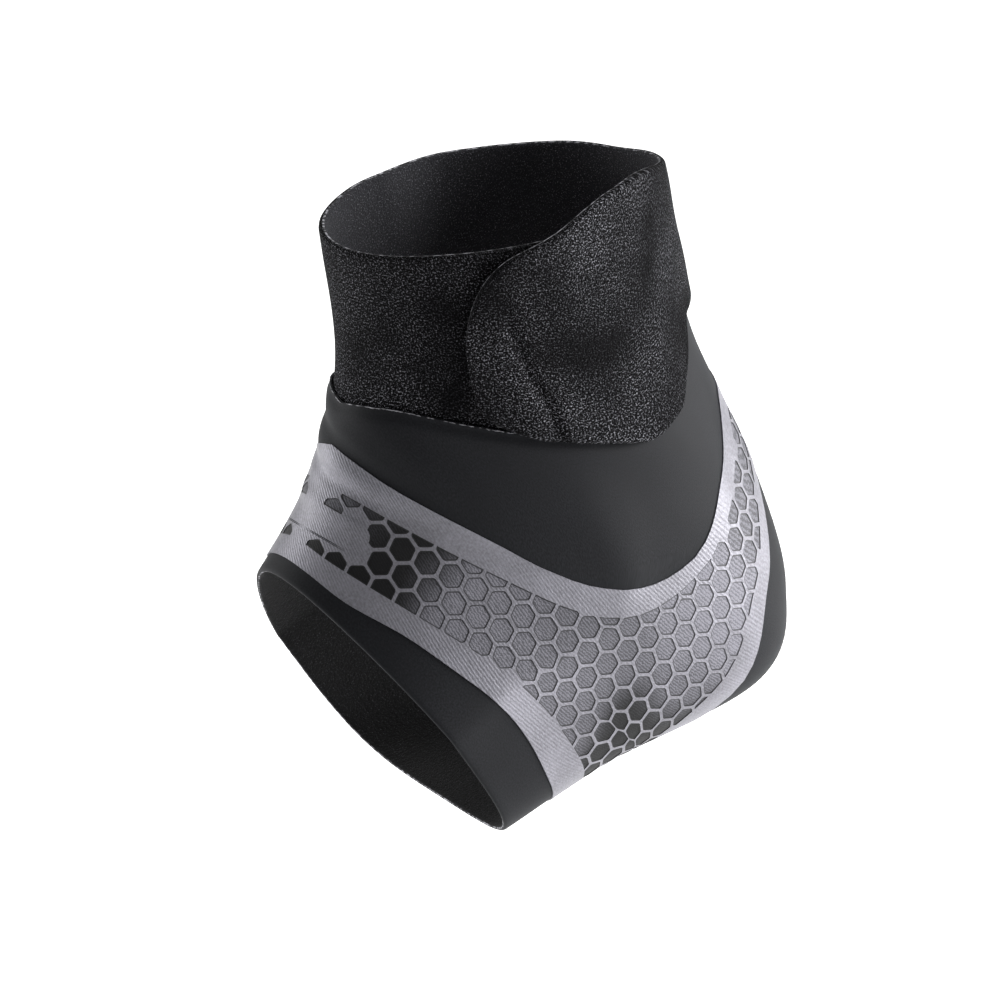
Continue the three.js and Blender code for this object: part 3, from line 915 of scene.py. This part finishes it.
def film_pieces():
    """The flat film cut into triangles: their corners' stations, angles and places, and what each
    triangle is: 0 silver, 1 cell, 2 the line inside a cell's edge."""
    station, degrees = half_tube(film_low, film_high, FILM_MARGIN, *FILM_GRID)
    coarse = body_point(station, degrees) + outward(station, degrees) * SLEEVE_OUTSIDE
    rows, columns = station.shape
    guess = coarse.reshape(-1, 3)[:, 1:]
    flat = lay_flat(coarse.reshape(-1, 3), grid_triangles(rows, columns), guess).reshape(rows, columns, 2)
    fine = 4
    places = between(flat, np.arange((rows - 1) * fine + 1) / fine)
    places = np.swapaxes(places, 0, 1)
    places = np.swapaxes(between(places, np.arange((columns - 1) * fine + 1) / fine), 0, 1)
    counts = (count * fine for count in FILM_GRID)
    where = np.stack(half_tube(film_low, film_high, FILM_MARGIN, *counts), axis=-1)
    triangles = grid_triangles(*places.shape[:2])
    to_body = Carrier(places.reshape(-1, 2), triangles)
    scaled = where.reshape(-1, 2) * (1, 1 / STATION_DEGREES)
    to_flat = Carrier(scaled, triangles)

    edge = anticlockwise(outline(places[::2, ::2]))
    station, degrees = half_tube(cells_low, cells_high, FILM_MARGIN + HEEL_BAND, 14, 36, 10, 60)
    field_grid = to_flat(np.stack([station, degrees / 25], axis=-1).reshape(-1, 2), places.reshape(-1, 2))
    field_grid = field_grid.reshape(station.shape + (2,))
    beyond = field_grid[:, -1] - field_grid[:, -2]
    field_grid[:, -1] += beyond / np.linalg.norm(beyond, axis=1, keepdims=True) * 3
    middle_rows = degrees[:, 0] == 0
    beyond = field_grid[:, 0] - field_grid[:, 1]
    beyond = beyond / np.linalg.norm(beyond, axis=1, keepdims=True) * 3
    field_grid[middle_rows, 0] += beyond[middle_rows]
    field = anticlockwise(outline(field_grid))

    end = to_flat([(PLAQUE_END[1], PLAQUE_END[0] / STATION_DEGREES)], places.reshape(-1, 2))[0]
    front = to_flat([(PLAQUE_END[1], 180 / STATION_DEGREES)], places.reshape(-1, 2))[0]
    way = (end - front) / np.linalg.norm(end - front)
    side = np.array([-way[1], way[0]])
    plaque = []
    half = PLAQUE_HEIGHT / 2
    for turn, up in ((0, 1), (90, -1)):
        for step in range(6):
            angle = math.radians(90 - turn - 18 * step)
            corner = end - way * PLAQUE_ROUND + side * up * (half - PLAQUE_ROUND)
            plaque.append(corner + PLAQUE_ROUND * (way * math.cos(angle) + side * math.sin(angle)))
    plaque += [front - way * 4 - side * half, front - way * 4 + side * half]
    plaque = anticlockwise(np.array(plaque))

    low, high = edge.min(axis=0), edge.max(axis=0)
    row_tilt, column_tilt = math.radians(ROW_TILT), math.radians(COLUMN_TILT)
    along = np.array([math.cos(row_tilt), math.sin(row_tilt)]) * CELL_STEP
    up = np.array([-math.sin(column_tilt), math.cos(column_tilt)]) * CELL_PITCH
    cells = []
    for column in range(-30, 31):
        for row in range(-30, 31):
            middle = np.array(CELL_ORIGIN) + along * column + up * (row + 0.5 * (column % 2))
            if (middle > low - 4).all() and (middle < high + 4).all():
                cells.append(middle)
    cells = np.array(cells)
    near_field = inside(cells, inset(field, -3.5)) | inside(cells, field)
    near_front = to_body(cells, where.reshape(-1, 2))[:, 1] > FIELD_FRONT
    cells = cells[near_field & ~near_front & ~inside(cells, inset(plaque, 0.2))]

    polygons = [edge, field, inset(field, CELL_LINE), plaque, inset(plaque, -CELL_LINE)]
    size = 1 - LATTICE_LINE / CELL_PITCH
    polygons += [hexagon(middle, along, up, size) for middle in cells]
    polygons += [hexagon(middle, along, up, size - 2 * CELL_LINE / CELL_PITCH) for middle in cells]
    loose = places[1::2, 1::2].reshape(-1, 2)
    loose = loose[inside(loose, inset(edge, EDGE_CLEAR))]
    points = np.concatenate(polygons + [loose])
    counts = np.cumsum([0] + [len(polygon) for polygon in polygons])
    faces = [list(range(counts[k], counts[k + 1])) for k in range(len(polygons))]
    found, _, parts, _, _, owners = delaunay_2d_cdt([Vector(p) for p in points], [], faces, 1, 1e-4)
    found = np.array([tuple(p) for p in found])
    triangles, kinds = [], []
    count = len(cells)
    cut_area = np.zeros(count)
    belongs = []
    for part, owner in zip(parts, owners):
        owner = set(owner)
        if 0 not in owner:
            continue
        p = found[part]
        area = abs(np.cross(p[1] - p[0], p[2] - p[0])) / 2
        if area < 1e-7:
            continue
        cell = next((k - 5 for k in owner if 5 <= k < 5 + count), None)
        if cell is not None and (1 not in owner or 3 in owner):
            cell = None
        filled = cell is not None and 2 in owner and 4 not in owner and (5 + count + cell) in owner
        triangles.append(part)
        belongs.append(-1 if cell is None else cell)
        kinds.append(0 if cell is None else (1 if filled else 2))
        if cell is not None:
            cut_area[cell] += area
    belongs, kinds = np.array(belongs), np.array(kinds)
    kinds[(belongs >= 0) & (cut_area[belongs] < SMALLEST_CELL)] = 0
    where = to_body(found, where.reshape(-1, 2))
    return found, where[:, 0], where[:, 1], np.array(triangles), kinds


def ink_at(station, degrees):
    """How dark the ink is at places of the sleeve, from 0 to 1."""
    turned = np.minimum(degrees, 360 - degrees)
    point = body_point(station, turned)
    total, weight = np.zeros(len(point)), np.full(len(point), 1e-9)
    for spot in INK:
        middle = body_point(spot["station"], spot["angle"])
        pull = np.exp(-np.sum((point - middle) ** 2, axis=-1) / spot["reach"] ** 2)
        total += pull * spot["dark"]
        weight += pull
    return total / weight


def build_film():
    flat, station, degrees, triangles, kinds = film_pieces()
    seam = (degrees > 179.98) | (degrees < 0.02)
    kept = ~seam[triangles].all(axis=1)
    triangles, kinds = triangles[kept], kinds[kept]
    degrees = np.where(degrees > 179.98, 180, np.where(degrees < 0.02, 0, degrees))
    count = len(flat)
    points, uv, normals = [], [], []
    for turned, sign in ((degrees, 1), (360 - degrees, -1)):
        for lift in (FILM_TOP, CELL_FLOOR, FILM_UNDERSIDE):
            points.append(sleeve_point(station, turned, SLEEVE_OUTSIDE + lift))
            uv.append(flat * (sign, 1))
            normals.append(outward(station, turned, sleeve_point))
    points, uv, normals = np.concatenate(points), np.concatenate(uv), np.concatenate(normals)
    floor = kinds > 0
    neighbours = {}
    for index, corners in enumerate(triangles.tolist()):
        for k in range(3):
            edge = (corners[k], corners[(k + 1) % 3])
            neighbours.setdefault(tuple(sorted(edge)), []).append((index, edge))
    faces, slots = [], []
    for half in (0, 1):
        shift = half * 3 * count
        same = np.arange(3 * count) + shift
        if half:
            for level in range(3):
                same[level * count:(level + 1) * count][seam] = np.flatnonzero(seam) + level * count

        def face(corners, slot):
            corners = [int(same[k]) for k in corners]
            faces.append(corners[::-1] if half else corners)
            slots.append(slot)

        for corners, kind in zip(triangles, kinds):
            face(corners + (count if kind else 0), kind)
            face(corners[::-1] + 2 * count, 0)
        for (p, q), found in neighbours.items():
            if len(found) == 2:
                first, second = found
                if floor[first[0]] == floor[second[0]]:
                    continue
                a, b = (first if not floor[first[0]] else second)[1]
                face([b, a, a + count, b + count], 2)
            elif not (seam[p] and seam[q]):
                index, (a, b) = found[0]
                level = count if floor[index] else 0
                face([b + level, a + level, a + 2 * count, b + 2 * count], 0)
    film = make_mesh("film_honeycomb", points, faces, [film_silver, film_cell, film_line], slots, uv,
                     merge=False)
    mesh = film.data
    ink = mesh.attributes.new("ink", "FLOAT", "POINT")
    both = np.concatenate([np.tile(station, 3), np.tile(station, 3)]), np.tile(degrees, 6)
    ink.data.foreach_set("value", ink_at(*both))
    level = np.array([(corner % (3 * count)) // count for corner in range(len(points))])
    up = normals * np.where(level == 2, -1, 1)[:, None]
    shown = []
    for polygon in mesh.polygons:
        corners = list(polygon.vertices)
        if len({int(level[k]) for k in corners}) == 1:
            shown += up[corners].tolist()
        else:
            shown += [tuple(polygon.normal)] * len(corners)
    mesh.normals_split_custom_set(shown)
    work = bmesh.new()
    work.from_mesh(mesh)
    bmesh.ops.delete(work, geom=[v for v in work.verts if not v.link_faces], context="VERTS")
    work.to_mesh(mesh)
    work.free()
    return film


film = build_film()
finished(film, "print_film")

# The band that is wound round the leg
BAND_STEP = 1.5  # degrees
FADE_IN, FADE_OUT = 0.3, 0.1  # stations over which the groove starts and ends
STRAP_START = 300  # degrees, from where the band is the strap over its first turn
FIRST_TURN_LUMPS = 0.4  # share of the lumps that the first turn has
BAND_ROWS = 26


def band_grid():
    low, high = band_edges(488.0)
    station = low + (high - low) * TONGUE["middle"]
    _, around = slopes(float(station), 488.0)
    tongue = TONGUE_ROUND / np.linalg.norm(around)
    straight = np.arange(50, 488 - tongue, BAND_STEP)
    rounded = 488 - tongue + tongue * np.sin(np.pi / 2 * np.arange(29) / 28)
    degrees = np.concatenate([straight, rounded])
    into = np.clip((degrees - 488 + tongue) / tongue, 0, 1)
    left = TONGUE["tip"] + (1 - TONGUE["tip"]) * np.sqrt(1 - into ** TONGUE["fullness"])
    low, high = band_edges(degrees)
    middle = low + (high - low) * TONGUE["middle"]
    share = np.linspace(0, 1, BAND_ROWS)[:, None]
    station = middle + (low + (high - low) * share - middle) * left
    return station, np.broadcast_to(degrees, station.shape)


# The seam that holds the hook patch shows as a groove down the tongue
SEAM = table("station angle", [
    (4.62, 466),
    (5.18, 467),
    (6.1, 471),
    (6.4, 473),
])


def band_lift(station, degrees):
    """How far the pile cloth stands out of its plain form: its lumps and the groove of the seam."""
    point = body_point(station, degrees)
    wave = np.sin(point[..., 2] * 0.21 + degrees * 0.05) * np.sin(degrees * 0.11 - point[..., 2] * 0.13)
    stations = [row["station"] for row in SEAM]
    across = degrees - np.interp(station, stations, [row["angle"] for row in SEAM])
    ends = (np.clip((station - stations[0] + FADE_IN) / FADE_IN, 0, 1)
            * np.clip((stations[-1] - station + FADE_OUT) / FADE_OUT, 0, 1))
    groove = -1.15 * np.exp(-((across / 1.3) ** 2)) * ends
    swell = 0.35 * np.exp(-(((across - 6) / 5) ** 2)) * ends
    return 0.22 * wave + groove + swell


station, degrees = band_grid()
stand = at_angle(BAND, "stand", degrees)
away = outward(station, degrees)
base = body_point(station, degrees)
out = stand * (STRAP_INSIDE + PILE_WALL)
lumps = band_lift(station, degrees) * np.where(degrees > STRAP_START, 1, FIRST_TURN_LUMPS)
outer = base + away * (out + lumps)[..., None]
inner = base + away * (out - PILE_WALL)[..., None]
middle = outer[BAND_ROWS // 2]
run = np.concatenate([[0], np.cumsum(np.linalg.norm(np.diff(middle, axis=0), axis=-1))])
rise = lengths(outer)[..., 1]
rise = rise - rise[BAND_ROWS // 2]
places = np.stack([np.broadcast_to(run, rise.shape), rise], axis=-1)
cuff = wall("pile_band", outer, inner, places, [pile, backing, cut], np.zeros(len(outer), bool))
finished(cuff, "wrap_cuff")

# The hook patch, between the tongue and the turn under it
PATCH_LENGTH = 12
PATCH_HEIGHT = 20
PATCH_INSET = 4
PATCH_ROWS = 16
PATCH_COLUMNS = 12


def patch_grid():
    low, high = band_edges(488.0)
    middle = low + (high - low) * TONGUE["middle"]
    _, around = slopes(float(middle), 128.0)
    end = 128 - PATCH_INSET / np.linalg.norm(around)
    start = end - PATCH_LENGTH / np.linalg.norm(around)
    along, _ = slopes(float(middle), (start + end) / 2)
    half = PATCH_HEIGHT / 2 / np.linalg.norm(along)
    return np.meshgrid(np.linspace(middle - half, middle + half, PATCH_ROWS),
                       np.linspace(start, end, PATCH_COLUMNS), indexing="ij")


station, degrees = patch_grid()
away = outward(station, degrees)
outer = body_point(station, degrees) + away * (STRAP_INSIDE - CLEARANCE)
inner = body_point(station, degrees) + away * CLEARANCE
patch = wall("hook_patch_cloth", outer, inner, lengths(outer), [hooks, hooks, hooks],
             np.zeros(PATCH_ROWS, bool))
finished(patch, "hook_patch")

# Floor, light and camera
CAMERA_AZIMUTH = math.radians(58)
CAMERA_ELEVATION = math.radians(20)
CAMERA_DISTANCE = 1200
AIM_RIGHT = -7.8
AIM_UP = 13.0
LENS_LENGTH = 198.7
WORLD_STRENGTH = 0.24
PAPER_GLOW = 0.58  # the overlit white paper's own light
camera_right = Vector((math.cos(CAMERA_AZIMUTH), math.sin(CAMERA_AZIMUTH), 0))
camera_back = Vector((math.sin(CAMERA_AZIMUTH) * math.cos(CAMERA_ELEVATION),
                      -math.cos(CAMERA_AZIMUTH) * math.cos(CAMERA_ELEVATION), math.sin(CAMERA_ELEVATION)))
camera_up = camera_back.cross(camera_right)
aim = camera_right * AIM_RIGHT + camera_up * AIM_UP
lens = bpy.data.cameras.new("camera")
lens.lens = LENS_LENGTH
lens.sensor_width = 36
lens.clip_end = 20
camera = bpy.data.objects.new("camera", lens)
camera.matrix_world = Matrix.Translation((aim + camera_back * CAMERA_DISTANCE) * MM) @ Matrix(
    (camera_right, camera_up, camera_back)).transposed().to_4x4()
bpy.context.scene.collection.objects.link(camera)
bpy.context.scene.camera = camera



def paper():
    """Matt white background paper: plain, slightly uneven."""
    material, tree = new_material("background_paper")
    fibres = noise(tree, space_place(tree), 0.5 / MM)
    surface(tree, {"Base Color": colour("#f7f7f7"), "Roughness": 0.9, "Emission Color": colour("#ffffff"),
            "Emission Strength": PAPER_GLOW, "Normal": bumped(tree, fibres, 0.05, 0.05)})
    return material


FLOOR_DROP = 95
FLOOR_HALF = 3000
corners = [(-1, -1), (1, -1), (1, 1), (-1, 1)]
floor = make_mesh("floor", [(x * FLOOR_HALF, y * FLOOR_HALF, -FLOOR_DROP) for x, y in corners],
                  [(0, 1, 2, 3)], [paper()], merge=False)

# Soft boxes: how far to the camera's right, up and toward the camera, in millimetres, with their size
LAMPS = table("name right up toward size watts", [
    ("key", 800, 300, 40, 560, 15.5),
    ("rim", -800, 220, -160, 560, 4.4),
    ("top", 120, 900, -120, 620, 1.2),
])
for row in LAMPS:
    light = bpy.data.lights.new(row["name"], "AREA")
    light.energy, light.size = row["watts"], row["size"] * MM
    lamp = bpy.data.objects.new(row["name"], light)
    place = camera_right * row["right"] + camera_up * row["up"] + camera_back * row["toward"]
    lamp.location = place * MM
    lamp.rotation_euler = (aim - place).to_track_quat("-Z", "Y").to_euler()
    bpy.context.scene.collection.objects.link(lamp)
world = bpy.data.worlds.new("studio")
world.use_nodes = True
world.node_tree.nodes["Background"].inputs[0].default_value = colour("#ffffff")
world.node_tree.nodes["Background"].inputs[1].default_value = WORLD_STRENGTH
bpy.context.scene.world = world
bpy.context.scene.view_settings.view_transform = "Standard"
